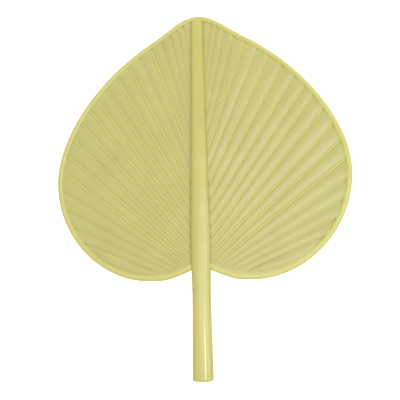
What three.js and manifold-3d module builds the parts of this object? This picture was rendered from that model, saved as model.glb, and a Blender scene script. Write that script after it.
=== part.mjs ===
// A moulded plastic hand fan in the form of a pleated palm leaf: a tapered stem that is handle and
// midrib in one, a rim bead round a heart-shaped outline, two fluted leaf halves seated between
// them, and thin raised ribs lying in the deeper grooves.
// Millimetres. The fan lies on its back: +Z is the front of the leaf, +Y points to the leaf's tip,
// and the handle ends at -Y. The origin is under the middle of the fan, on the surface it lies on.
import * as THREE from 'three';
import { mergeVertices } from 'three/addons/utils/BufferGeometryUtils.js';
import Module from 'manifold-3d';

// Fits
const CLEARANCE = 0.3;
const SEAT_DEPTH = 2;
const MOUTH_MARGIN = 0.5;

// Whole fan
const FAN_LENGTH = 369;
const TIP_AT = FAN_LENGTH / 2;
const HANDLE_END_AT = -FAN_LENGTH / 2;

// Heart-shaped outline, right half, outer edge of the rim, with heights given below the tip
const TIP_REACH = 17;
const SHOULDER_OUT = 48.2;
const SHOULDER_BELOW_TIP = 25.2;
const SHOULDER_SLOPE = THREE.MathUtils.degToRad(31);
const SHOULDER_REACH_IN = 25;
const SHOULDER_REACH_OUT = 77;
const LEAF_HALF_WIDTH = 149.8;
const WIDEST_BELOW_TIP = 168.5;
const SIDE_REACH_UP = 42.5;
const SIDE_REACH_DOWN = 58.5;
const LOBE_OUT = 51.3;
const LOBE_BELOW_TIP = 273.1;
const LOBE_REACH_OUT = 51;
const LOBE_REACH_IN = 15.3;
const NOTCH_BELOW_TIP = 261.6;
const NOTCH_SLOPE = THREE.MathUtils.degToRad(24);
const NOTCH_REACH = 29.5;
const OUTLINE_STEPS = 9;

// Rim bead
const RIM_WIDTH_AT_TIP = 5.2;
const RIM_WIDTH_AT_NOTCH = 6.6;
const RIM_THICKNESS = 5;
const RIM_ROUND_STEPS = 9;
const RIM_RUN_INTO_STEM = 3.5;

// Stem: an oval rod with a flat back, with its stations named from the handle's end up to the tip
const BACK_DEPTH = 6;
const HANDLE_END_WIDTH = 20.6;
const HANDLE_END_THICKNESS = 14.5;
const HANDLE_END_ROUND = 2.5;
const GRIP_FROM_END = 42;
const GRIP_WIDTH = 19.2;
const GRIP_THICKNESS = 13.4;
const WAIST_FROM_END = 78;
const WAIST_WIDTH = 18.3;
const WAIST_THICKNESS = 13;
const MIDRIB_BELOW_TIP = 236;
const MIDRIB_WIDTH = 20;
const MIDRIB_THICKNESS = 13;
const TAPER_BELOW_TIP = 140;
const TAPER_WIDTH = 16.6;
const TAPER_THICKNESS = 13;
const STEM_TIP_WIDTH = 12;
const STEM_TIP_THICKNESS = 7.5;
const STEM_SIDES = 20;
const STEM_RINGS = 18;
const END_ROUND_STEPS = 3;
const TONGUE_WIDTH = 7;

// Leaf halves: flutes between straight grooves, of which the upper ones leave the stem one above the
// other and the lower ones leave the rim beside the notch
const LEAF_THICKNESS = 1.2;
const LEAF_EDGE_HEIGHT = 0;
const FLUTE_EDGE_ANGLE = THREE.MathUtils.degToRad(15);
const FLUTE_SEGMENTS = 4;
const FLUTE_END_LENGTH = 4;
const FLUTE_END_SHARE = 0.35;
const FLUTE_END_MID_RISE = 0.75;
const GROOVE_START_STEP = 3.1;
const GROOVE_START_POWER = 1.57;
const BASE_GROOVE_DROP = 3.3;
const BASE_GROOVE_STEP = 4.4;
const LAST_FLUTE_LEAD_SHARE = 0.12;
// Angle of each groove above the cross direction, in degrees, from the tip down: the stem grooves start
// on the stem's edge, and the base grooves point at it from below the corner of stem and rim.
const STEM_GROOVE_ANGLES = [83, 79.5, 76.5, 73.5, 70, 66.5, 63.5, 60, 57, 54.5, 52.5, 49.5, 45.5, 41.5];
const BASE_GROOVE_ANGLES = [37.4, 32.9, 28.7, 25.2, 22.3];

// Raised ribs, by the number of the groove that each lies in
const RIB_GROOVE_NUMBERS = [6, 8, 9, 10, 11, 12, 13, 14, 15, 16];
const RIB_WIDTH = 1.6;
const RIB_HEIGHT = 0.9;

// Finishes
const STEM_FINISH = { color: 0xd8cf7c, roughness: 0.3, metalness: 0 };
const RIM_FINISH = { color: 0xd6d07a, roughness: 0.32, metalness: 0 };
const LEAF_FINISH = { color: 0xcfc87c, roughness: 0.38, metalness: 0 };
const RIB_FINISH = { color: 0xd9d47c, roughness: 0.35, metalness: 0 };

// Points closer than this are one point
const SAME_POINT = 1e-4;

const wasm = await Module();
wasm.setup();

// Solids and booleans

function toManifold(geometry) {
  const bare = geometry.clone();
  bare.deleteAttribute('normal');
  bare.deleteAttribute('uv');
  const merged = mergeVertices(bare, SAME_POINT);
  return new wasm.Manifold(new wasm.Mesh({
    numProp: 3,
    vertProperties: new Float32Array(merged.attributes.position.array),
    triVerts: new Uint32Array(merged.index.array),
  }));
}

function fromManifold(solid) {
  const mesh = solid.getMesh();
  return meshGeometry(Array.from(mesh.vertProperties), Array.from(mesh.triVerts));
}

// A closed mesh whose faces point out, whichever way round its triangles were listed.
function meshGeometry(positions, triangles) {
  const pointAt = (i) => new THREE.Vector3().fromArray(positions, 3 * i);
  let volume = 0;
  for (let i = 0; i < triangles.length; i += 3) {
    const [a, b, c] = triangles.slice(i, i + 3).map(pointAt);
    volume += a.dot(b.cross(c)) / 6;
  }
  const geometry = new THREE.BufferGeometry();
  geometry.setAttribute('position', new THREE.Float32BufferAttribute(positions, 3));
  geometry.setIndex(volume < 0 ? triangles.slice().reverse() : triangles);
  geometry.computeVertexNormals();
  return geometry;
}

// A closed skin through rings of equal point counts, capped flat by triangulating one section.
function loft(rings, section) {
  const count = section.length;
  const positions = rings.flatMap((ring) => ring.flatMap((point) => [point.x, point.y, point.z]));
  const triangles = [];
  for (let ring = 0; ring < rings.length - 1; ring += 1) {
    for (let side = 0; side < count; side += 1) {
      const next = (side + 1) % count;
      const a = ring * count + side;
      const b = ring * count + next;
      triangles.push(a, b, b + count, a, b + count, a + count);
    }
  }
  const last = (rings.length - 1) * count;
  for (const [a, b, c] of THREE.ShapeUtils.triangulateShape(section, [])) {
    triangles.push(c, b, a, last + a, last + b, last + c);
  }
  return meshGeometry(positions, triangles);
}

function mirrored(geometry) {
  const given = geometry.attributes.position.array;
  const positions = Array.from(given, (value, i) => (i % 3 === 0 ? -value : value));
  return meshGeometry(positions, Array.from(geometry.index.array));
}

// Outline

function halfOutline() {
  const shoulder = new THREE.Vector2(SHOULDER_OUT, TIP_AT - SHOULDER_BELOW_TIP);
  const along = new THREE.Vector2(Math.cos(SHOULDER_SLOPE), -Math.sin(SHOULDER_SLOPE));
  const before = shoulder.clone().addScaledVector(along, -SHOULDER_REACH_IN);
  const after = shoulder.clone().addScaledVector(along, SHOULDER_REACH_OUT);
  const widestAt = TIP_AT - WIDEST_BELOW_TIP;
  const lobeAt = TIP_AT - LOBE_BELOW_TIP;
  const notchAt = TIP_AT - NOTCH_BELOW_TIP;
  const notchOut = MIDRIB_WIDTH / 2 - RIM_RUN_INTO_STEM;
  const path = new THREE.Path();
  path.moveTo(0, TIP_AT);
  path.bezierCurveTo(TIP_REACH, TIP_AT, before.x, before.y, shoulder.x, shoulder.y);
  path.bezierCurveTo(
    after.x, after.y, LEAF_HALF_WIDTH, widestAt + SIDE_REACH_UP, LEAF_HALF_WIDTH, widestAt,
  );
  path.bezierCurveTo(
    LEAF_HALF_WIDTH, widestAt - SIDE_REACH_DOWN, LOBE_OUT + LOBE_REACH_OUT, lobeAt, LOBE_OUT, lobeAt,
  );
  path.bezierCurveTo(
    LOBE_OUT - LOBE_REACH_IN, lobeAt,
    notchOut + NOTCH_REACH * Math.cos(NOTCH_SLOPE), notchAt - NOTCH_REACH * Math.sin(NOTCH_SLOPE),
    notchOut, notchAt,
  );
  return path.getPoints(OUTLINE_STEPS);
}

const outline = halfOutline();

function outlineLength(count) {
  let length = 0;
  for (let i = 1; i < count; i += 1) {
    length += outline[i].distanceTo(outline[i - 1]);
  }
  return length;
}

// Outline points with the direction into the leaf and the rim's width there.
const rimStations = outline.map((point, i) => {
  const before = i === 0 ? new THREE.Vector2(-outline[1].x, outline[1].y) : outline[i - 1];
  const after = outline[Math.min(i + 1, outline.length - 1)];
  const along = after.clone().sub(before).normalize();
  const share = outlineLength(i + 1) / outlineLength(outline.length);
  return {
    point,
    inward: new THREE.Vector2(along.y, -along.x),
    width: THREE.MathUtils.lerp(RIM_WIDTH_AT_TIP, RIM_WIDTH_AT_NOTCH, share),
  };
});

function insetFromRim(pastRim) {
  return rimStations.map(({ point, inward, width }) => (
    point.clone().addScaledVector(inward, width + pastRim)
  ));
}

const rimSeatLine = insetFromRim(-SEAT_DEPTH);
const rimMouthLine = insetFromRim(MOUTH_MARGIN);
const rimFluteLine = insetFromRim(MOUTH_MARGIN + FLUTE_END_LENGTH);

// Stem sizes

const stemTipAt = TIP_AT - RIM_WIDTH_AT_TIP - CLEARANCE - tipSag();
const stemSizes = new THREE.CubicInterpolant(
  [
    HANDLE_END_AT, HANDLE_END_AT + GRIP_FROM_END, HANDLE_END_AT + WAIST_FROM_END,
    TIP_AT - MIDRIB_BELOW_TIP, TIP_AT - TAPER_BELOW_TIP, stemTipAt,
  ],
  [
    HANDLE_END_WIDTH, HANDLE_END_THICKNESS, GRIP_WIDTH, GRIP_THICKNESS, WAIST_WIDTH, WAIST_THICKNESS,
    MIDRIB_WIDTH, MIDRIB_THICKNESS, TAPER_WIDTH, TAPER_THICKNESS, STEM_TIP_WIDTH, STEM_TIP_THICKNESS,
  ],
  2,
);

// How far the rim's inner edge falls from the middle of the tip to the stem's corners.
function tipSag() {
  const innerEdge = insetFromRim(0);
  return innerEdge[0].y - crossingHeight(innerEdge, STEM_TIP_WIDTH / 2);
}

function crossingHeight(line, out) {
  const i = line.findIndex((point) => point.x > out);
  const share = (out - line[i - 1].x) / (line[i].x - line[i - 1].x);
  return THREE.MathUtils.lerp(line[i - 1].y, line[i].y, share);
}

function stemHalfWidth(at) {
  return stemSizes.evaluate(at)[0] / 2;
}

// Stem

function ovalSection(halfWidth, halfThickness) {
  return Array.from({ length: STEM_SIDES }, (_, i) => {
    const angle = (i / STEM_SIDES) * 2 * Math.PI;
    return new THREE.Vector2(halfWidth * Math.cos(angle), halfThickness * Math.sin(angle));
  });
}

function stemRing(at, grow) {
  const [width, thickness] = stemSizes.evaluate(Math.max(at, HANDLE_END_AT));
  return ovalSection(width / 2 + grow, thickness / 2 + grow)
    .map(({ x, y }) => new THREE.Vector3(x, at, Math.max(y, -BACK_DEPTH - Math.max(grow, 0))));
}

function stemBody(grow) {
  const rings = [];
  for (let i = 0; i <= END_ROUND_STEPS; i += 1) {
    const angle = (i / END_ROUND_STEPS) * (Math.PI / 2);
    const at = HANDLE_END_AT + HANDLE_END_ROUND * (1 - Math.cos(angle));
    rings.push(stemRing(at, grow - HANDLE_END_ROUND * (1 - Math.sin(angle))));
  }
  const straight = stemTipAt - HANDLE_END_AT - HANDLE_END_ROUND;
  for (let i = 1; i <= STEM_RINGS; i += 1) {
    rings.push(stemRing(HANDLE_END_AT + HANDLE_END_ROUND + (straight * i) / STEM_RINGS, grow));
  }
  return loft(rings, ovalSection(1, 1));
}

// A flat plate that reaches from inside the stem's side out past the leaf, to cut the leaf's slot.
function slotPlate() {
  const shape = new THREE.Shape();
  const bottom = leafCorner().y - SEAT_DEPTH;
  const steps = STEM_RINGS;
  for (let i = 0; i <= steps; i += 1) {
    const at = THREE.MathUtils.lerp(bottom, TIP_AT, i / steps);
    const depth = stemHalfWidth(Math.min(at, stemTipAt)) - SEAT_DEPTH - CLEARANCE;
    if (i === 0) {
      shape.moveTo(depth, at);
    } else {
      shape.lineTo(depth, at);
    }
  }
  shape.lineTo(MIDRIB_WIDTH, TIP_AT);
  shape.lineTo(MIDRIB_WIDTH, bottom);
  const height = LEAF_THICKNESS + 2 * CLEARANCE;
  const plate = new THREE.ExtrudeGeometry(shape, { depth: height, bevelEnabled: false });
  return plate.translate(0, 0, LEAF_EDGE_HEIGHT - height / 2);
}

function tipTongue() {
  const reach = SEAT_DEPTH + tipSag() + CLEARANCE;
  const tongue = new THREE.BoxGeometry(TONGUE_WIDTH, 2 * reach, LEAF_THICKNESS);
  return tongue.translate(0, stemTipAt, LEAF_EDGE_HEIGHT);
}

function stemGeometry() {
  const plate = slotPlate();
  const solid = toManifold(stemBody(0))
    .subtract(toManifold(plate))
    .subtract(toManifold(mirrored(mergeVertices(plate))))
    .add(toManifold(tipTongue()));
  return fromManifold(solid);
}

// Rim

// Bead section with a slot for the leaf's edge: x runs inward from the outer edge, y is height.
function rimSection(width) {
  const halfSlot = LEAF_THICKNESS / 2 + CLEARANCE;
  const slotTop = LEAF_EDGE_HEIGHT + halfSlot;
  const slotBottom = LEAF_EDGE_HEIGHT - halfSlot;
  const halfThickness = RIM_THICKNESS / 2;
  const fromAngle = Math.asin(slotTop / halfThickness);
  const toAngle = 2 * Math.PI + Math.asin(slotBottom / halfThickness);
  const points = [];
  for (let i = 0; i <= RIM_ROUND_STEPS; i += 1) {
    const angle = THREE.MathUtils.lerp(fromAngle, toAngle, i / RIM_ROUND_STEPS);
    points.push(new THREE.Vector2((width / 2) * (1 + Math.cos(angle)), halfThickness * Math.sin(angle)));
  }
  const slotEnd = width - SEAT_DEPTH - CLEARANCE;
  points.push(new THREE.Vector2(slotEnd, slotBottom), new THREE.Vector2(slotEnd, slotTop));
  return points;
}

function rimRing({ point, inward, width }, side) {
  return rimSection(width).map(({ x, y }) => {
    const inPlan = point.clone().addScaledVector(inward, x);
    return new THREE.Vector3(side * inPlan.x, inPlan.y, y);
  });
}

function rimGeometry() {
  const rightRings = rimStations.map((station) => rimRing(station, 1));
  const leftRings = rimStations.slice(1).map((station) => rimRing(station, -1));
  const bead = loft([...leftRings.reverse(), ...rightRings], rimSection(RIM_WIDTH_AT_TIP));
  return fromManifold(toManifold(bead).subtract(toManifold(stemBody(CLEARANCE))));
}

// Leaf halves

// Where the seated leaf edges of stem and rim meet at the base.
function leafCorner() {
  for (let i = rimSeatLine.length - 1; i > 0; i -= 1) {
    const inner = rimSeatLine[i];
    const outer = rimSeatLine[i - 1];
    const edge = stemHalfWidth(inner.y);
    if (inner.x <= edge && outer.x > edge) {
      return inner.clone().lerp(outer, (edge - inner.x) / (outer.x - inner.x));
    }
  }
  return rimSeatLine[rimSeatLine.length - 1];
}

const corner = leafCorner();

// The places where a ray from a point crosses a line, from the line's tip end to its notch end.
function crossings(line, from, angle) {
  const along = new THREE.Vector2(Math.cos(angle), Math.sin(angle));
  const found = [];
  for (let i = 0; i < line.length - 1; i += 1) {
    const step = line[i + 1].clone().sub(line[i]);
    const toLine = line[i].clone().sub(from);
    const cross = along.cross(step);
    const share = toLine.cross(along) / cross;
    const reach = toLine.cross(step) / cross;
    if (share >= 0 && share <= 1 && reach > 0) {
      found.push({ reach, place: i + share });
    }
  }
  return found;
}

function farCrossing(line, { start, angle }) {
  return crossings(line, start, angle)[0];
}

function alongRay(from, angle, reach) {
  return new THREE.Vector2(from.x + reach * Math.cos(angle), from.y + reach * Math.sin(angle));
}

// A groove has a start at the mouth of its slot, a seated inner end, an angle, and the length over
// which the flutes beside it rise from the slot.
function stemGroove(at, angle) {
  const edge = stemHalfWidth(at);
  return {
    start: new THREE.Vector2(edge + MOUTH_MARGIN, at),
    seat: new THREE.Vector2(edge - SEAT_DEPTH, at),
    angle,
    endLength: FLUTE_END_LENGTH / Math.abs(Math.cos(angle)),
  };
}

function baseGroove(drop, angle) {
  const from = new THREE.Vector2(corner.x, corner.y - drop);
  const [seat, mouth, flute] = [rimSeatLine, rimMouthLine, rimFluteLine]
    .map((line) => crossings(line, from, angle).pop().reach);
  return {
    start: alongRay(from, angle, mouth),
    seat: alongRay(from, angle, seat),
    angle,
    endLength: flute - mouth,
  };
}

function grooveLines() {
  const count = STEM_GROOVE_ANGLES.length;
  const stemGrooves = STEM_GROOVE_ANGLES.map((degrees, i) => {
    const above = GROOVE_START_STEP * (count - i) ** GROOVE_START_POWER;
    return stemGroove(corner.y + above, THREE.MathUtils.degToRad(degrees));
  });
  const baseGrooves = BASE_GROOVE_ANGLES.map((degrees, i) => (
    baseGroove(BASE_GROOVE_DROP + i * BASE_GROOVE_STEP, THREE.MathUtils.degToRad(degrees))
  ));
  const topAt = stemGrooves[0].start.y + GROOVE_START_STEP;
  const topLean = Math.atan2(TIP_AT - topAt, stemHalfWidth(stemTipAt) - stemHalfWidth(topAt));
  return [stemGroove(topAt, topLean), ...stemGrooves, ...baseGrooves];
}

const grooves = grooveLines();

function blend(a, b, share) {
  return {
    start: a.start.clone().lerp(b.start, share),
    seat: a.seat.clone().lerp(b.seat, share),
    angle: THREE.MathUtils.lerp(a.angle, b.angle, share),
    endLength: THREE.MathUtils.lerp(a.endLength, b.endLength, share),
  };
}

// Points along a line of the leaf from slot to slot, with the share of the flute's full rise at each.
function leafLine(groove) {
  const { start, seat, angle, endLength } = groove;
  const toSeat = farCrossing(rimSeatLine, groove).reach;
  const toMouth = farCrossing(rimMouthLine, groove).reach;
  const toFlute = Math.max(farCrossing(rimFluteLine, groove).reach, toMouth * (1 - FLUTE_END_SHARE));
  const nearEnd = Math.min(endLength, toMouth * FLUTE_END_SHARE);
  const point = (reach) => alongRay(start, angle, reach);
  return [
    { point: seat.clone(), rise: 0 },
    { point: start.clone(), rise: 0 },
    { point: point(nearEnd / 2), rise: FLUTE_END_MID_RISE },
    { point: point(nearEnd), rise: 1 },
    { point: point(toFlute), rise: 1 },
    { point: point((toFlute + toMouth) / 2), rise: FLUTE_END_MID_RISE },
    { point: point(toMouth), rise: 0 },
    { point: point(toSeat), rise: 0 },
  ];
}

// One flute: lines from groove to groove, arched across, as tall as its width and edge angle ask.
function fluteLines(near, far) {
  const first = leafLine(near);
  const last = leafLine(far);
  const lines = [];
  for (let segment = 0; segment < FLUTE_SEGMENTS; segment += 1) {
    const share = segment / FLUTE_SEGMENTS;
    const arch = 4 * share * (1 - share);
    lines.push(leafLine(blend(near, far, share)).map(({ point, rise }, i) => {
      const crest = (fluteWidth(near, first, last, i) * Math.tan(FLUTE_EDGE_ANGLE)) / 4;
      return new THREE.Vector3(point.x, point.y, LEAF_EDGE_HEIGHT + arch * crest * rise);
    }));
  }
  return lines;
}

// A flute's width at one place, square to its length.
function fluteWidth(near, first, last, i) {
  const along = new THREE.Vector2(Math.cos(near.angle), Math.sin(near.angle));
  const across = last[i].point.clone().sub(first[i].point);
  return Math.abs(along.cross(across));
}

function flatLine(points) {
  return points.map((point) => new THREE.Vector3(point.x, point.y, LEAF_EDGE_HEIGHT));
}

// The leaf's edge in the stem's slot above the first groove, with a point for each place on a line.
function stemEdgeLine() {
  const first = leafLine(grooves[0]);
  const places = first.length - 1;
  const bottom = first[0].point.y + GROOVE_START_STEP;
  const top = first[places].point.y;
  return flatLine(first.map((_, i) => {
    const at = THREE.MathUtils.lerp(bottom, top, i / places);
    return new THREE.Vector2(stemHalfWidth(Math.min(at, stemTipAt)) - SEAT_DEPTH, at);
  }));
}

function pointAt(line, place) {
  const i = Math.min(Math.floor(place), line.length - 2);
  return line[i].clone().lerp(line[i + 1], place - i);
}

// Points on a line of the rim below the lowest groove, one beside each point along the groove.
function besideLowestGroove(line) {
  const groove = grooves[grooves.length - 1];
  const outside = alongRay(groove.seat, groove.angle, -SEAT_DEPTH);
  const ends = crossings(line, outside, groove.angle);
  const far = ends[0].place;
  const near = ends[ends.length - 1].place;
  const length = farCrossing(rimMouthLine, groove).reach;
  return leafLine(groove).map(({ point }) => {
    const reach = point.clone().sub(groove.start).dot(alongRay(new THREE.Vector2(), groove.angle, 1));
    const share = THREE.MathUtils.lerp(LAST_FLUTE_LEAD_SHARE, 1 - LAST_FLUTE_LEAD_SHARE, reach / length);
    return pointAt(line, THREE.MathUtils.lerp(near, far, share));
  });
}

// The last flute bends from the lowest groove to the rim, and ends flat in the rim's slot.
function lastFluteLines() {
  const chord = leafLine(grooves[grooves.length - 1]);
  const mouth = besideLowestGroove(rimMouthLine);
  const lines = [];
  for (let segment = 0; segment < FLUTE_SEGMENTS; segment += 1) {
    const share = segment / FLUTE_SEGMENTS;
    const arch = 4 * share * (1 - share);
    lines.push(chord.map(({ point, rise }, i) => {
      const crest = (point.distanceTo(mouth[i]) * Math.tan(FLUTE_EDGE_ANGLE)) / 4;
      const { x, y } = point.clone().lerp(mouth[i], share);
      return new THREE.Vector3(x, y, LEAF_EDGE_HEIGHT + arch * crest * rise);
    }));
  }
  return [...lines, flatLine(mouth), flatLine(besideLowestGroove(rimSeatLine))];
}

// A closed sheet: the lines' skin on top, the same skin one thickness below, and walls between.
function closedSheet(lines) {
  const rows = lines.length;
  const columns = lines[0].length;
  const half = LEAF_THICKNESS / 2;
  const positions = [];
  for (const lift of [half, -half]) {
    for (const line of lines) {
      for (const { x, y, z } of line) {
        positions.push(x, y, z + lift);
      }
    }
  }
  const under = rows * columns;
  const triangles = [];
  const quad = (a, b, c, d) => triangles.push(a, b, c, a, c, d);
  for (let row = 0; row < rows - 1; row += 1) {
    for (let column = 0; column < columns - 1; column += 1) {
      const a = row * columns + column;
      const b = a + columns;
      quad(a, b, b + 1, a + 1);
      quad(under + a, under + a + 1, under + b + 1, under + b);
    }
  }
  for (let row = 0; row < rows - 1; row += 1) {
    const first = row * columns;
    const last = first + columns - 1;
    quad(first, under + first, under + first + columns, first + columns);
    quad(last, last + columns, under + last + columns, under + last);
  }
  for (let column = 0; column < columns - 1; column += 1) {
    const top = (rows - 1) * columns + column;
    quad(column, column + 1, under + column + 1, under + column);
    quad(top, under + top, under + top + 1, top + 1);
  }
  return meshGeometry(positions, triangles);
}

function rightLeafGeometry() {
  const lines = [stemEdgeLine()];
  for (let i = 0; i < grooves.length - 1; i += 1) {
    lines.push(...fluteLines(grooves[i], grooves[i + 1]));
  }
  return closedSheet([...lines, ...lastFluteLines()]);
}

// Ribs

function rightRibGeometry(groove) {
  const along = new THREE.Vector2(Math.cos(groove.angle), Math.sin(groove.angle));
  const across = new THREE.Vector2(-along.y, along.x);
  const floor = LEAF_EDGE_HEIGHT + LEAF_THICKNESS / 2 + CLEARANCE;
  const half = RIB_WIDTH / 2;
  const flank = floor + half * Math.tan(FLUTE_EDGE_ANGLE);
  const section = [
    new THREE.Vector2(0, floor),
    new THREE.Vector2(half, flank),
    new THREE.Vector2(half / 2, floor + RIB_HEIGHT),
    new THREE.Vector2(-half / 2, floor + RIB_HEIGHT),
    new THREE.Vector2(-half, flank),
  ];
  const from = half / along.x;
  const to = farCrossing(rimMouthLine, groove).reach - RIB_WIDTH;
  const rings = [from, to].map((reach) => section.map(({ x, y }) => {
    const inPlan = alongRay(groove.start, groove.angle, reach).addScaledVector(across, x);
    return new THREE.Vector3(inPlan.x, inPlan.y, y);
  }));
  return loft(rings, section);
}

// Assembly

const fan = new THREE.Group();
fan.position.z = BACK_DEPTH;

function addPiece(name, geometry, finish) {
  const piece = new THREE.Mesh(geometry, new THREE.MeshStandardMaterial(finish));
  piece.name = name;
  fan.add(piece);
}

addPiece('stem', stemGeometry(), STEM_FINISH);
addPiece('rim', rimGeometry(), RIM_FINISH);
const rightLeaf = rightLeafGeometry();
addPiece('right_leaf', rightLeaf, LEAF_FINISH);
addPiece('left_leaf', mirrored(rightLeaf), LEAF_FINISH);
RIB_GROOVE_NUMBERS.forEach((number, i) => {
  const rib = rightRibGeometry(grooves[number - 1]);
  const place = String(i + 1).padStart(2, '0');
  addPiece(`right_rib_${place}`, rib, RIB_FINISH);
  addPiece(`left_rib_${place}`, mirrored(rib), RIB_FINISH);
});

export default fan;
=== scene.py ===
"""A palm leaf hand fan of pale yellow moulded plastic, lying on a pale floor under soft studio light.

The outline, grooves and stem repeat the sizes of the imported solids, in metres, with finer surfaces,
steeper flutes and a slightly squarer stem. +Y points from the handle's end to the leaf's tip and +Z out
of the front of the leaf.
"""
import math

import bpy
import numpy as np
from mathutils import Matrix, Vector


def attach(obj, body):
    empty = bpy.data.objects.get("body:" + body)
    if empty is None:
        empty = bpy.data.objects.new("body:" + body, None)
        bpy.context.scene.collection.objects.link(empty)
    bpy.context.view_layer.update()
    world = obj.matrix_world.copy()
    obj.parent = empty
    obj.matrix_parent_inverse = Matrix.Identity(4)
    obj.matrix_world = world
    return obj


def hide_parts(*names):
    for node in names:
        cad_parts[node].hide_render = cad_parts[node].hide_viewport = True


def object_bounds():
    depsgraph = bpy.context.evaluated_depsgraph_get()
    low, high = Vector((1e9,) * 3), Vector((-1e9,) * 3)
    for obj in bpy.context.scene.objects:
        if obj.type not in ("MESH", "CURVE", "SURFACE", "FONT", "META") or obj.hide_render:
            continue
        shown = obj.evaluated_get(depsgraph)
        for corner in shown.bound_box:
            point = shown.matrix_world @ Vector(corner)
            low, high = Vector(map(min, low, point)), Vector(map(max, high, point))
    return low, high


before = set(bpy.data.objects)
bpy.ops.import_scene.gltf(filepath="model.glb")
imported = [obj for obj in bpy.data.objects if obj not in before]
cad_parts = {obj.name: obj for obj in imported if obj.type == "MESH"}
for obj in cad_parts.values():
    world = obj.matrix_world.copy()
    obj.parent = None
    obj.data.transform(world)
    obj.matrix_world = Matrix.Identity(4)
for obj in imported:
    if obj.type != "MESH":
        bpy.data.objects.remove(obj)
cad_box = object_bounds()

MM = 0.001

# Whole fan, from the frame
TIP_AT = cad_box[1].y
HANDLE_END_AT = cad_box[0].y
LEAF_HALF_WIDTH = cad_box[1].x

# Heart-shaped outline, right half, outer edge of the rim, with heights given below the tip
TIP_REACH = 17 * MM
SHOULDER_OUT = 48.2 * MM
SHOULDER_BELOW_TIP = 25.2 * MM
SHOULDER_SLOPE = math.radians(31)
SHOULDER_REACH_IN = 25 * MM
SHOULDER_REACH_OUT = 77 * MM
WIDEST_BELOW_TIP = 168.5 * MM
SIDE_REACH_UP = 42.5 * MM
SIDE_REACH_DOWN = 58.5 * MM
LOBE_OUT = 51.3 * MM
LOBE_BELOW_TIP = 273.1 * MM
LOBE_REACH_OUT = 51 * MM
LOBE_REACH_IN = 15.3 * MM
NOTCH_BELOW_TIP = 261.6 * MM
NOTCH_SLOPE = math.radians(24)
NOTCH_REACH = 29.5 * MM
OUTLINE_STEPS = 48

# Rim bead
RIM_WIDTH_AT_TIP = 5.2 * MM
RIM_WIDTH_AT_NOTCH = 6.6 * MM
RIM_THICKNESS = 5 * MM
RIM_RUN_INTO_STEM = 3.5 * MM
RIM_SQUARENESS = 2.5
RIM_SIDES = 32

# Stem: distance from the handle's end or below the tip, width and thickness at each station
BACK_DEPTH = 6 * MM
GRIP_FROM_END = 42 * MM
WAIST_FROM_END = 78 * MM
MIDRIB_BELOW_TIP = 236 * MM
TAPER_BELOW_TIP = 140 * MM
STEM_TIP_BELOW_TIP = 3.5 * MM
STEM_WIDTHS = np.array([20.6, 19.2, 18.3, 20, 16.6, 12]) * MM
STEM_THICKNESSES = np.array([14.5, 13.4, 13, 13, 13, 7]) * MM
MIDRIB_STATION = 3
STEM_SQUARENESS = 2.7
HANDLE_END_ROUND = 2.5 * MM
STEM_SIDES = 72
STEM_RINGS = 180
END_ROUND_STEPS = 10

# Leaf halves: a sheet seated in slots, arched into flutes whose ends ease into the rim's shoulder
SEAT_DEPTH = 2 * MM
MOUTH_MARGIN = 0.5 * MM
LEAF_THICKNESS = 1.2 * MM
FLUTE_SLOPE_AT_STEM = math.tan(math.radians(24))
FLUTE_SLOPE_FAR_OUT = math.tan(math.radians(22))
FLUTE_SLOPE_REACH = 40 * MM
FLUTE_SEGMENTS = 16
FLUTE_END_LENGTH = 4 * MM
FLUTE_END_LONGEST_SHARE = 0.35
FLUTE_END_STEPS = 8
FLUTE_MIDDLE_STEPS = 12
RIM_MEETING_HEIGHT = 1.5 * MM
RIM_MEETING_RISE_POWER = 2
RIM_MEETING_FALL_POWER = 12
LAST_FLUTE_LEAD_SHARE = 0.12
LAST_FLUTE_TUCK_SHARE = 0.7

# Grooves, with their directions in degrees up from straight across
GROOVE_START_STEP = 3.1 * MM
GROOVE_START_POWER = 1.57
BASE_GROOVE_DROP = 3.3 * MM
BASE_GROOVE_STEP = 4.4 * MM
STEM_GROOVE_ANGLES = [83, 79.5, 76.5, 73.5, 70, 66.5, 63.5, 60, 57, 54.5, 52.5, 49.5, 45.5, 41.5]
BASE_GROOVE_ANGLES = [37.4, 32.9, 28.7, 25.2, 22.3]

# Raised ribs, by the number of the groove that each lies in
RIB_GROOVE_NUMBERS = [6, 8, 9, 10, 11, 12, 13, 14, 15, 16]
RIB_WIDTH = 1.5 * MM
RIB_HEIGHT = 1.3 * MM
RIB_LIFT = 0.5 * MM
RIB_SIDES = 16
RIB_END_LENGTH = 1.5 * MM
RIB_END_SIZE = 0.3
RIB_END_STEPS = 6
RIB_FOOT_SHARE = 0.45

# Round mark left by moulding on the front of the stem
GATE_OUT = 4.9 * MM
GATE_AT = 12.6 * MM
GATE_RADIUS = 2.6 * MM
GATE_HEIGHT = 0.2 * MM
GATE_RINGS = 6
GATE_ROUND_POWER = 6
GATE_SIDES = 40

SMOOTH_ANGLE = math.radians(30)

# Plastic of each member: its deep and pale tint, and its roughness
LEAF_TINTS = ((0.45, 0.42, 0.14), (0.48, 0.445, 0.155))
LEAF_ROUGHNESS = 0.2
RIM_TINTS = ((0.525, 0.495, 0.145), (0.555, 0.52, 0.16))
RIM_ROUGHNESS = 0.2
STEM_TINTS = ((0.465, 0.42, 0.12), (0.505, 0.455, 0.14))
STEM_ROUGHNESS = 0.13
# The ribs' tints are paler than the leaf's: partly the plastic's own colour, partly a painted highlight so
# that the ribs read as bright lines
RIB_TINTS_WITH_PAINTED_HIGHLIGHT = ((0.59, 0.55, 0.165), (0.62, 0.575, 0.175))
RIB_ROUGHNESS = 0.3

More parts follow.
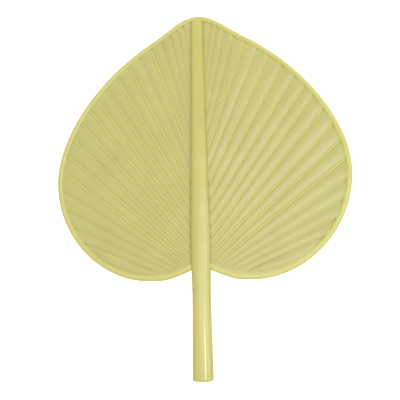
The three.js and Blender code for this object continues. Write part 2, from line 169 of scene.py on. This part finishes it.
# All plastic: drift of the tint, smudges in the gloss, and a fine skin
TINT_SCALE = 28
TINT_DETAIL = 3
TINT_RAMP = (0.3, 0.7)
SMUDGE_SCALE = 90
SMUDGE_DETAIL = 4
SMUDGE_SPREAD = 0.03
SKIN_SCALE = 900
SKIN_DETAIL = 2
SKIN_STRENGTH = 0.05
SKIN_DEPTH = 0.2 * MM
PLASTIC_IOR = 1.49

# Floor, and the light from all round, with its share from straight below, the horizon and straight above
FLOOR_HALF = 4
FLOOR_COLOUR = (0.93, 0.93, 0.92, 1)
FLOOR_ROUGHNESS = 0.9
FLOOR_GLOW = 0.7
WORLD_COLOUR = np.array([1, 0.99, 0.89])
WORLD_SHARES = [(0, 1), (0.5, 0.38), (1, 0.75)]
WORLD_STRENGTH = 1.28

# Lamps round the fan: degrees round from +X and up from the floor, width and height, brightness and colour
LAMP_DISTANCE = 1.5
LAMPS = {
    "overhead": dict(azimuth=315, elevation=84.6, size=(0.8, 0.8), brightness=2.13, colour=(0.77, 0.78, 1)),
    "right_top": dict(azimuth=0, elevation=60, size=(0.7, 0.6), brightness=2.6, colour=(0.74, 0.81, 1)),
    "key": dict(azimuth=325, elevation=40, size=(0.9, 0.6), brightness=2.42, colour=(0.82, 0.9, 1)),
    "right": dict(azimuth=5, elevation=16, size=(0.9, 0.6), brightness=1.27, colour=(0.56, 0.76, 1)),
    "back_right": dict(azimuth=65, elevation=25, size=(1, 0.5), brightness=1.5, colour=(0.83, 0.89, 1)),
    "back": dict(azimuth=105, elevation=36, size=(1, 0.5), brightness=1.48, colour=(1, 0.98, 0.84)),
    "front": dict(azimuth=280, elevation=55, size=(0.8, 0.6), brightness=0.66, colour=(0.86, 0.89, 1)),
}

# Strip lamp that faces straight down beside the handle and lights only the stem
STRIP_OVER = Vector((0.06, -0.227, 0))
STRIP_HEIGHT = 0.58
STRIP_SIZE = (0.055, 0.146)
STRIP_BRIGHTNESS = 17
STRIP_COLOUR = (0.78, 0.87, 1)

# Camera, as fitted to both edges of the photographed outline
CAMERA_DISTANCE = 600 * MM
CAMERA_LENS = 54
CAMERA_SENSOR = 36
CAMERA_YAW = math.radians(9.12)
CAMERA_PITCH = math.radians(8.16)
CAMERA_ROLL = math.radians(-1.06)
CAMERA_TARGET = Vector((0, -8.95 * MM, BACK_DEPTH))


# Curves and outline

def bezier(start, first, second, end):
    """Points of a cubic curve, without its start."""
    share = np.linspace(0, 1, OUTLINE_STEPS + 1)[1:, None]
    rest = 1 - share
    points = rest**3 * np.array(start) + 3 * rest**2 * share * np.array(first)
    return points + 3 * rest * share**2 * np.array(second) + share**3 * np.array(end)


def smooth_through(places, values, at):
    """Values at the given places on a smooth curve through known stations."""
    slopes = np.gradient(values, places)
    i = np.clip(np.searchsorted(places, at) - 1, 0, len(places) - 2)
    step = places[i + 1] - places[i]
    t = (at - places[i]) / step
    rise = values[i] * (1 + 2 * t) * (1 - t) ** 2 + values[i + 1] * t**2 * (3 - 2 * t)
    return rise + step * (slopes[i] * t * (1 - t) ** 2 + slopes[i + 1] * t**2 * (t - 1))


def half_outline():
    """Points of the right half, from the tip round to the notch beside the stem."""
    shoulder = np.array((SHOULDER_OUT, TIP_AT - SHOULDER_BELOW_TIP))
    along = np.array((math.cos(SHOULDER_SLOPE), -math.sin(SHOULDER_SLOPE)))
    widest = np.array((LEAF_HALF_WIDTH, TIP_AT - WIDEST_BELOW_TIP))
    lobe = np.array((LOBE_OUT, TIP_AT - LOBE_BELOW_TIP))
    notch_out = STEM_WIDTHS[MIDRIB_STATION] / 2 - RIM_RUN_INTO_STEM
    notch = np.array((notch_out, TIP_AT - NOTCH_BELOW_TIP))
    out_of_notch = NOTCH_REACH * np.array((math.cos(NOTCH_SLOPE), -math.sin(NOTCH_SLOPE)))
    tip = np.array((0, TIP_AT))
    return np.concatenate([
        tip[None],
        bezier(tip, tip + (TIP_REACH, 0), shoulder - SHOULDER_REACH_IN * along, shoulder),
        bezier(shoulder, shoulder + SHOULDER_REACH_OUT * along, widest + (0, SIDE_REACH_UP), widest),
        bezier(widest, widest - (0, SIDE_REACH_DOWN), lobe + (LOBE_REACH_OUT, 0), lobe),
        bezier(lobe, lobe - (LOBE_REACH_IN, 0), notch + out_of_notch, notch),
    ])


outline = half_outline()
steps = np.gradient(np.concatenate([outline[1:2] * (-1, 1), outline]), axis=0)[1:]
inward = np.stack([steps[:, 1], -steps[:, 0]], 1) / np.linalg.norm(steps, axis=1)[:, None]
travelled = np.concatenate([[0], np.cumsum(np.linalg.norm(np.diff(outline, axis=0), axis=1))])
rim_widths = RIM_WIDTH_AT_TIP + (RIM_WIDTH_AT_NOTCH - RIM_WIDTH_AT_TIP) * travelled / travelled[-1]


def inset_from_rim(past_rim):
    return outline + inward * (rim_widths + past_rim)[:, None]


rim_seat_line = inset_from_rim(-SEAT_DEPTH)
rim_mouth_line = inset_from_rim(MOUTH_MARGIN)
rim_flute_line = inset_from_rim(MOUTH_MARGIN + FLUTE_END_LENGTH)

stem_places = np.array([
    HANDLE_END_AT, HANDLE_END_AT + GRIP_FROM_END, HANDLE_END_AT + WAIST_FROM_END,
    TIP_AT - MIDRIB_BELOW_TIP, TIP_AT - TAPER_BELOW_TIP, TIP_AT - STEM_TIP_BELOW_TIP,
])


def stem_half_width(at):
    return smooth_through(stem_places, STEM_WIDTHS, at) / 2


def stem_half_thickness(at):
    return smooth_through(stem_places, STEM_THICKNESSES, at) / 2


# Materials

def plastic(name, deep, pale, roughness):
    """Moulded plastic: slow drifts of tint and gloss, and a fine orange-peel skin."""
    material = bpy.data.materials.new(name)
    material.use_nodes = True
    nodes = material.node_tree.nodes
    links = material.node_tree.links
    shader = nodes["Principled BSDF"]
    place = nodes.new("ShaderNodeTexCoord")

    def noise(scale, detail):
        texture = nodes.new("ShaderNodeTexNoise")
        texture.inputs["Scale"].default_value = scale
        texture.inputs["Detail"].default_value = detail
        links.new(place.outputs["Object"], texture.inputs["Vector"])
        return texture.outputs["Fac"]

    tint = nodes.new("ShaderNodeValToRGB")
    for element, position, colour in zip(tint.color_ramp.elements, TINT_RAMP, (deep, pale)):
        element.position = position
        element.color = (*colour, 1)
    links.new(noise(TINT_SCALE, TINT_DETAIL), tint.inputs["Fac"])
    links.new(tint.outputs["Color"], shader.inputs["Base Color"])

    gloss = nodes.new("ShaderNodeMapRange")
    gloss.inputs["To Min"].default_value = roughness - SMUDGE_SPREAD
    gloss.inputs["To Max"].default_value = roughness + SMUDGE_SPREAD
    links.new(noise(SMUDGE_SCALE, SMUDGE_DETAIL), gloss.inputs["Value"])
    links.new(gloss.outputs["Result"], shader.inputs["Roughness"])

    bump = nodes.new("ShaderNodeBump")
    bump.inputs["Strength"].default_value = SKIN_STRENGTH
    bump.inputs["Distance"].default_value = SKIN_DEPTH
    links.new(noise(SKIN_SCALE, SKIN_DETAIL), bump.inputs["Height"])
    links.new(bump.outputs["Normal"], shader.inputs["Normal"])
    shader.inputs["IOR"].default_value = PLASTIC_IOR
    return material


LEAF_PLASTIC = plastic("leaf_plastic", *LEAF_TINTS, LEAF_ROUGHNESS)
RIM_PLASTIC = plastic("rim_plastic", *RIM_TINTS, RIM_ROUGHNESS)
STEM_PLASTIC = plastic("stem_plastic", *STEM_TINTS, STEM_ROUGHNESS)
# Rib plastic: the leaf's plastic made paler, a painted highlight along the ribs
RIB_PLASTIC = plastic("rib_plastic", *RIB_TINTS_WITH_PAINTED_HIGHLIGHT, RIB_ROUGHNESS)


# Meshes

def add_piece(name, points, faces, material, slot, replaced):
    """A smooth mesh in the part frame, with heights given from the leaf's middle."""
    raised = np.array(points) + (0, 0, BACK_DEPTH)
    mesh = bpy.data.meshes.new(name)
    mesh.from_pydata(raised.tolist(), [], faces)
    mesh.validate()
    mesh.shade_smooth()
    mesh.set_sharp_from_angle(angle=SMOOTH_ANGLE)
    mesh.materials.append(material)
    piece = bpy.data.objects.new(name, mesh)
    bpy.context.scene.collection.objects.link(piece)
    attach(piece, "root")
    if replaced:
        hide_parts(*replaced)
    return piece


def loft(rings):
    """Points and faces of a closed skin through rings of equal counts, with a face over each end."""
    count = len(rings[0])
    faces = []
    for ring in range(len(rings) - 1):
        for side in range(count):
            a = ring * count + side
            b = ring * count + (side + 1) % count
            faces.append((a, b, b + count, a + count))
    last = (len(rings) - 1) * count
    faces.append(tuple(range(count - 1, -1, -1)))
    faces.append(tuple(range(last, last + count)))
    return np.concatenate(rings), faces


def squared_round(sides, squareness):
    """Points round a circle of radius one, a little squared: places across and heights."""
    angle = np.linspace(0, 2 * np.pi, sides, endpoint=False)
    flat = 2 / squareness
    across = np.sign(np.cos(angle)) * np.abs(np.cos(angle)) ** flat
    height = np.sign(np.sin(angle)) * np.abs(np.sin(angle)) ** flat
    return across, height


def mirrored(points, faces):
    return np.array(points) * (-1, 1, 1), [face[::-1] for face in faces]


# Stem

def stem_ring(at, shrink):
    """A section across the stem, flat at the back where it rests."""
    across, height = squared_round(STEM_SIDES, STEM_SQUARENESS)
    out = (stem_half_width(at) - shrink) * across
    raised = np.maximum((stem_half_thickness(at) - shrink) * height, -BACK_DEPTH)
    return np.stack([out, np.full(STEM_SIDES, at), raised], 1)


def make_stem():
    rings = []
    for angle in np.linspace(0, np.pi / 2, END_ROUND_STEPS + 1):
        at = HANDLE_END_AT + HANDLE_END_ROUND * (1 - math.cos(angle))
        rings.append(stem_ring(at, HANDLE_END_ROUND * (1 - math.sin(angle))))
    straight = np.linspace(HANDLE_END_AT + HANDLE_END_ROUND, TIP_AT - STEM_TIP_BELOW_TIP, STEM_RINGS + 1)
    rings.extend(stem_ring(at, 0) for at in straight[1:])
    points, faces = loft(rings[::-1])
    return add_piece("stem_body", points, faces, STEM_PLASTIC, "stem_plastic", ["stem"])


def make_gate_mark():
    """A low round button that follows the stem's front, with its foot sunk in the stem."""
    angle = np.linspace(0, 2 * np.pi, GATE_SIDES, endpoint=False)
    rings = []
    for share in np.linspace(1, 0, GATE_RINGS, endpoint=False):
        out = GATE_OUT + GATE_RADIUS * share * np.cos(angle)
        at = GATE_AT + GATE_RADIUS * share * np.sin(angle)
        inward_share = 1 - np.abs(out / stem_half_width(at)) ** STEM_SQUARENESS
        front = stem_half_thickness(at) * inward_share ** (1 / STEM_SQUARENESS)
        lift = GATE_HEIGHT * (1 - 2 * share**GATE_ROUND_POWER)
        rings.append(np.stack([out, at, front + lift], 1))
    points, faces = loft(rings)
    return add_piece("gate_mark", points, faces, STEM_PLASTIC, "stem_plastic", [])


# Rim

def rim_ring(i, side):
    """A section across the rim at one point of the outline, on the right (1) or the left (-1)."""
    across, height = squared_round(RIM_SIDES, RIM_SQUARENESS)
    reach = rim_widths[i] / 2 * (1 + across)
    plan = outline[i] + inward[i] * reach[:, None]
    return np.stack([side * plan[:, 0], plan[:, 1], RIM_THICKNESS / 2 * height], 1)


def make_rim():
    right = [rim_ring(i, 1) for i in range(len(outline))]
    left = [rim_ring(i, -1) for i in range(1, len(outline))]
    points, faces = loft(left[::-1] + right)
    add_piece("rim_bead", points, faces, RIM_PLASTIC, "rim_plastic", ["rim"])


# Grooves

def leaf_corner():
    """Where the seated leaf edges of stem and rim meet at the base."""
    past = rim_seat_line[:, 0] - stem_half_width(rim_seat_line[:, 1])
    i = np.nonzero((past[1:] <= 0) & (past[:-1] > 0))[0][-1]
    share = past[i] / (past[i] - past[i + 1])
    return rim_seat_line[i] + share * (rim_seat_line[i + 1] - rim_seat_line[i])


def direction(angle):
    return np.array((math.cos(angle), math.sin(angle)))


def crossings(line, start, angle):
    """Where a ray crosses a line of points, from the tip's end to the notch's: reaches and places."""
    along = direction(angle)
    step = np.diff(line, axis=0)
    to_line = line[:-1] - start
    cross = along[0] * step[:, 1] - along[1] * step[:, 0]
    share = (to_line[:, 0] * along[1] - to_line[:, 1] * along[0]) / cross
    reach = (to_line[:, 0] * step[:, 1] - to_line[:, 1] * step[:, 0]) / cross
    met = (share >= 0) & (share <= 1) & (reach > 0)
    return reach[met], (np.arange(len(step)) + share)[met]


def far_reach(line, groove):
    return crossings(line, groove["start"], groove["angle"])[0][0]


def stem_groove(at, angle):
    """A groove out of the stem: its start at the slot's mouth, its seated end and the length of its ease."""
    edge = stem_half_width(at)
    return {
        "start": np.array((edge + MOUTH_MARGIN, at)),
        "seat": np.array((edge - SEAT_DEPTH, at)),
        "angle": angle,
        "end_length": FLUTE_END_LENGTH / abs(math.cos(angle)),
        "from_rim": 0,
    }


def base_groove(corner, drop, angle):
    """A groove out of the rim's foot, on a ray from a point below the leaf's corner."""
    below = corner - (0, drop)
    seat, mouth, flute = [
        crossings(line, below, angle)[0][-1] for line in (rim_seat_line, rim_mouth_line, rim_flute_line)
    ]
    return {
        "start": below + mouth * direction(angle),
        "seat": below + seat * direction(angle),
        "angle": angle,
        "end_length": flute - mouth,
        "from_rim": 1,
    }


def groove_lines():
    """Grooves from the tip down: along the stem's edge, out of the stem, and out of the rim's foot."""
    corner = leaf_corner()
    count = len(STEM_GROOVE_ANGLES)
    found = []
    for i, degrees in enumerate(STEM_GROOVE_ANGLES):
        above = GROOVE_START_STEP * (count - i) ** GROOVE_START_POWER
        found.append(stem_groove(corner[1] + above, math.radians(degrees)))
    for i, degrees in enumerate(BASE_GROOVE_ANGLES):
        drop = BASE_GROOVE_DROP + i * BASE_GROOVE_STEP
        found.append(base_groove(corner, drop, math.radians(degrees)))
    top = found[0]["start"][1] + GROOVE_START_STEP
    narrowing = stem_half_width(TIP_AT - RIM_WIDTH_AT_TIP) - stem_half_width(top)
    return [stem_groove(top, math.atan2(TIP_AT - top, narrowing))] + found


def blend(a, b, share):
    return {key: a[key] + (b[key] - a[key]) * share for key in a}


# Leaf halves

def leaf_line(groove):
    """Points along a line of the leaf from slot to slot, and how far each belongs to a rim's edge."""
    start = groove["start"]
    to_seat = far_reach(rim_seat_line, groove)
    to_mouth = far_reach(rim_mouth_line, groove)
    longest_end = to_mouth * FLUTE_END_LONGEST_SHARE
    far_end = min(to_mouth - far_reach(rim_flute_line, groove), longest_end)
    near_end = min(groove["end_length"], longest_end)
    share = np.linspace(0, 1, FLUTE_END_STEPS + 1)
    leaving = 1 - share**2 * (3 - 2 * share)
    middle = np.linspace(near_end, to_mouth - far_end, FLUTE_MIDDLE_STEPS + 1)[1:-1]
    reach = np.concatenate([near_end * share, middle, to_mouth - far_end * share[::-1], [to_seat]])
    near_meeting = groove["from_rim"] * np.concatenate([[1], leaving])
    meeting = np.concatenate([near_meeting, np.zeros(len(middle)), leaving[::-1], [1]])
    points = start + direction(groove["angle"]) * reach[:, None]
    return np.concatenate([groove["seat"][None], points]), meeting


def flute_shares():
    """Places across a flute from its first groove, closer together beside the grooves."""
    return (1 - np.cos(np.pi * np.arange(FLUTE_SEGMENTS) / FLUTE_SEGMENTS)) / 2


def arch(share):
    """Height across a flute, 0 at its grooves and 1 at its crest."""
    return 4 * share * (1 - share)


def crest_heights(groove, widths):
    """Crest heights along a groove: a quarter of the width times the edge's slope, steeper by the stem."""
    reach = np.linalg.norm(leaf_line(groove)[0] - groove["seat"], axis=1)
    extra = (FLUTE_SLOPE_AT_STEM - FLUTE_SLOPE_FAR_OUT) * np.exp(-reach / FLUTE_SLOPE_REACH)
    return widths * (FLUTE_SLOPE_FAR_OUT + extra) / 4


def rim_end_height(share):
    """Height at a flute's outer end: a gentle rise from one groove and a steep drop into the next."""
    rise = 1 - (1 - share) ** RIM_MEETING_RISE_POWER
    fall = 1 - share**RIM_MEETING_FALL_POWER
    return RIM_MEETING_HEIGHT * rise * fall


def flute_lines(near, far):
    """Lines across one flute, arched between its two grooves and eased into the rim's shoulder."""
    gap = leaf_line(far)[0] - leaf_line(near)[0]
    along = direction(near["angle"])
    crest = crest_heights(near, np.abs(along[0] * gap[:, 1] - along[1] * gap[:, 0]))
    lines = []
    for share in flute_shares():
        points, meeting = leaf_line(blend(near, far, share))
        rise = arch(share) * crest
        near_half = np.arange(len(points)) < len(points) / 2
        shoulder = np.where(near_half, RIM_MEETING_HEIGHT, rim_end_height(share))
        lines.append(np.column_stack([points, rise + meeting * (shoulder - rise)]))
    return lines


def stem_edge_line(first):
    """The leaf's edge in the stem above the first groove."""
    at = np.linspace(first[0, 1] + GROOVE_START_STEP, first[-1, 1], len(first))
    return np.column_stack([stem_half_width(at) - SEAT_DEPTH, at, np.zeros(len(at))])


def beside_lowest(line, groove):
    """Points on a line of the rim below the lowest groove, one beside each point along the groove."""
    along = direction(groove["angle"])
    places = crossings(line, groove["seat"] - SEAT_DEPTH * along, groove["angle"])[1]
    reach = (leaf_line(groove)[0] - groove["start"]) @ along
    share = reach / far_reach(rim_mouth_line, groove)
    share = LAST_FLUTE_LEAD_SHARE + (1 - 2 * LAST_FLUTE_LEAD_SHARE) * share
    place = places[-1] + (places[0] - places[-1]) * share
    stations = np.arange(len(line))
    return np.column_stack([np.interp(place, stations, line[:, 0]), np.interp(place, stations, line[:, 1])])


def last_flute_lines(groove):
    """The flute from the lowest groove to the rim, level with the rim's shoulder, its ends in the slot."""
    chord, meeting = leaf_line(groove)
    mouth = beside_lowest(rim_mouth_line, groove)
    seat = beside_lowest(rim_seat_line, groove)
    mouth[[0, -1]] += LAST_FLUTE_TUCK_SHARE * (seat - mouth)[[0, -1]]
    crest = crest_heights(groove, np.linalg.norm(mouth - chord, axis=1)) * (1 - meeting)
    near_half = np.arange(len(chord)) < len(chord) / 2
    foot = np.where(near_half, meeting * RIM_MEETING_HEIGHT, 0)
    shoulder = np.full(len(chord), RIM_MEETING_HEIGHT)
    lines = []
    for share in flute_shares():
        rise = foot + (shoulder - foot) * share**2 + arch(share) * crest
        lines.append(np.column_stack([chord + (mouth - chord) * share, rise]))
    return lines + [np.column_stack([line, shoulder]) for line in (mouth, seat)]


def closed_sheet(lines):
    """Top and underside of a sheet of the leaf's thickness, joined round the edge."""
    grid = np.array(lines)
    rows, columns = grid.shape[:2]
    half = (0, 0, LEAF_THICKNESS / 2)
    points = np.concatenate([(grid + half).reshape(-1, 3), (grid - half).reshape(-1, 3)])
    under = rows * columns
    faces = []
    for row in range(rows - 1):
        for column in range(columns - 1):
            a = row * columns + column
            b = a + columns
            faces.append((a, a + 1, b + 1, b))
            faces.append((under + a, under + b, under + b + 1, under + a + 1))
    edge = [row * columns for row in range(rows)]
    edge += [(rows - 1) * columns + column for column in range(1, columns)]
    edge += [row * columns + columns - 1 for row in range(rows - 2, -1, -1)]
    edge += list(range(columns - 2, 0, -1))
    for a, b in zip(edge, edge[1:] + edge[:1]):
        faces.append((a, b, under + b, under + a))
    return points, [face[::-1] for face in faces]


def make_leaves(grooves):
    lines = [stem_edge_line(leaf_line(grooves[0])[0])]
    for near, far in zip(grooves[:-1], grooves[1:]):
        lines.extend(flute_lines(near, far))
    lines.extend(last_flute_lines(grooves[-1]))
    points, faces = closed_sheet(lines)
    add_piece("right_leaf_sheet", points, faces, LEAF_PLASTIC, "leaf_plastic", ["right_leaf"])
    add_piece("left_leaf_sheet", *mirrored(points, faces), LEAF_PLASTIC, "leaf_plastic", ["left_leaf"])


# Ribs

def rib_skin(line):
    """A slim rounded bead that lies in a groove from the stem, or clear of the rim's foot, to the rim."""
    along = direction(line["angle"])
    across = np.array((-along[1], along[0]))
    foot = line["from_rim"] * line["end_length"] * RIB_FOOT_SHARE
    length = far_reach(rim_mouth_line, line) + MOUTH_MARGIN
    angle = np.linspace(0, 2 * np.pi, RIB_SIDES, endpoint=False)
    middle = LEAF_THICKNESS / 2 + RIB_LIFT
    ends = RIB_END_LENGTH * (1 - np.cos(np.linspace(0, np.pi / 2, RIB_END_STEPS)))
    rings = []
    for reach in np.concatenate([foot + ends, length - ends[::-1]]):
        inside = min(reach - foot, length - reach, RIB_END_LENGTH) / RIB_END_LENGTH
        size = RIB_END_SIZE + (1 - RIB_END_SIZE) * math.sqrt(1 - (1 - inside) ** 2)
        plan = line["start"] + along * reach + across * (RIB_WIDTH / 2 * size * np.cos(angle))[:, None]
        height = middle + (RIB_HEIGHT - RIB_LIFT) * size * np.sin(angle)
        rings.append(np.column_stack([plan, height]))
    return loft(rings[::-1])


def make_ribs(grooves):
    for i, number in enumerate(RIB_GROOVE_NUMBERS):
        right = rib_skin(grooves[number - 1])
        for side, skin in (("right", right), ("left", mirrored(*right))):
            bead = f"{side}_bead_{i + 1:02d}"
            add_piece(bead, *skin, RIB_PLASTIC, "rib_plastic", [f"{side}_rib_{i + 1:02d}"])


# Stage

def make_floor():
    """A pale floor that glows evenly to the camera and casts no light back on the fan."""
    corners = [(-FLOOR_HALF, -FLOOR_HALF, 0), (FLOOR_HALF, -FLOOR_HALF, 0)]
    corners += [(FLOOR_HALF, FLOOR_HALF, 0), (-FLOOR_HALF, FLOOR_HALF, 0)]
    mesh = bpy.data.meshes.new("floor")
    mesh.from_pydata(corners, [], [(0, 1, 2, 3)])
    material = bpy.data.materials.new("floor")
    material.use_nodes = True
    shader = material.node_tree.nodes["Principled BSDF"]
    shader.inputs["Base Color"].default_value = FLOOR_COLOUR
    shader.inputs["Roughness"].default_value = FLOOR_ROUGHNESS
    shader.inputs["Emission Color"].default_value = FLOOR_COLOUR
    shader.inputs["Emission Strength"].default_value = FLOOR_GLOW
    mesh.materials.append(material)
    floor = bpy.data.objects.new("floor", mesh)
    floor.visible_diffuse = False
    floor.visible_glossy = False
    bpy.context.scene.collection.objects.link(floor)


def make_world():
    """Light from all round, dimmest at the horizon: pale below, as from a floor, and bright overhead."""
    world = bpy.data.worlds.new("studio")
    world.use_nodes = True
    nodes = world.node_tree.nodes
    links = world.node_tree.links
    place = nodes.new("ShaderNodeTexCoord")
    parts = nodes.new("ShaderNodeSeparateXYZ")
    height = nodes.new("ShaderNodeMapRange")
    height.inputs["From Min"].default_value = -1
    ramp = nodes.new("ShaderNodeValToRGB")
    ramp.color_ramp.elements.new(WORLD_SHARES[1][0])
    for element, (position, share) in zip(ramp.color_ramp.elements, WORLD_SHARES):
        element.position = position
        element.color = (*(share * WORLD_COLOUR), 1)
    links.new(place.outputs["Generated"], parts.inputs["Vector"])
    links.new(parts.outputs["Z"], height.inputs["Value"])
    links.new(height.outputs["Result"], ramp.inputs["Fac"])
    links.new(ramp.outputs["Color"], nodes["Background"].inputs["Color"])
    nodes["Background"].inputs["Strength"].default_value = WORLD_STRENGTH
    bpy.context.scene.world = world


def round_fan(azimuth, elevation):
    """A lamp's place, by its degrees round from +X and up from the floor."""
    level = LAMP_DISTANCE * math.cos(math.radians(elevation))
    across = level * math.cos(math.radians(azimuth))
    along = level * math.sin(math.radians(azimuth))
    return Vector((across, along, LAMP_DISTANCE * math.sin(math.radians(elevation))))


def soft_light(name, place, aim, size, brightness, colour):
    """An oblong lamp that faces the given point, as bright at each spot whatever its size."""
    lamp = bpy.data.lights.new(name, "AREA")
    lamp.shape = "RECTANGLE"
    lamp.size, lamp.size_y = size
    lamp.energy = math.pi * lamp.size * lamp.size_y * brightness
    lamp.color = colour
    light = bpy.data.objects.new(name, lamp)
    light.location = place
    light.rotation_euler = (aim - place).to_track_quat("-Z", "Y").to_euler()
    light.visible_camera = False
    bpy.context.scene.collection.objects.link(light)
    return light


def make_lights(stem_pieces):
    """Soft lamps round the fan, and a strip lamp whose light falls on the stem alone."""
    fan_middle = Vector((0, 0, 0))
    for name, lamp in LAMPS.items():
        place = round_fan(lamp["azimuth"], lamp["elevation"])
        soft_light(name, place, fan_middle, lamp["size"], lamp["brightness"], lamp["colour"])
    strip_at = STRIP_OVER + Vector((0, 0, STRIP_HEIGHT))
    strip = soft_light("strip", strip_at, STRIP_OVER, STRIP_SIZE, STRIP_BRIGHTNESS, STRIP_COLOUR)
    lit = bpy.data.collections.new("lit_by_strip")
    for piece in stem_pieces:
        lit.objects.link(piece)
    strip.light_linking.receiver_collection = lit


def make_camera():
    """A camera turned to the right of the fan and towards its handle, and rolled a little."""
    back = Vector((
        math.sin(CAMERA_YAW) * math.cos(CAMERA_PITCH),
        -math.sin(CAMERA_PITCH),
        math.cos(CAMERA_YAW) * math.cos(CAMERA_PITCH),
    ))
    level = Vector((math.cos(CAMERA_YAW), 0, -math.sin(CAMERA_YAW)))
    upright = back.cross(level)
    right = math.cos(CAMERA_ROLL) * level + math.sin(CAMERA_ROLL) * upright
    up = math.cos(CAMERA_ROLL) * upright - math.sin(CAMERA_ROLL) * level
    camera = bpy.data.objects.new("camera", bpy.data.cameras.new("camera"))
    camera.data.lens = CAMERA_LENS
    camera.data.sensor_width = CAMERA_SENSOR
    turn = Matrix((right, up, back)).transposed().to_4x4()
    camera.matrix_world = Matrix.Translation(CAMERA_TARGET + CAMERA_DISTANCE * back) @ turn
    bpy.context.scene.collection.objects.link(camera)
    bpy.context.scene.camera = camera


# The scene

make_camera()
make_world()
make_floor()
bpy.context.scene.view_settings.view_transform = "Standard"

grooves = groove_lines()
stem_pieces = [make_stem(), make_gate_mark()]
make_rim()
make_leaves(grooves)
make_ribs(grooves)
make_lights(stem_pieces)
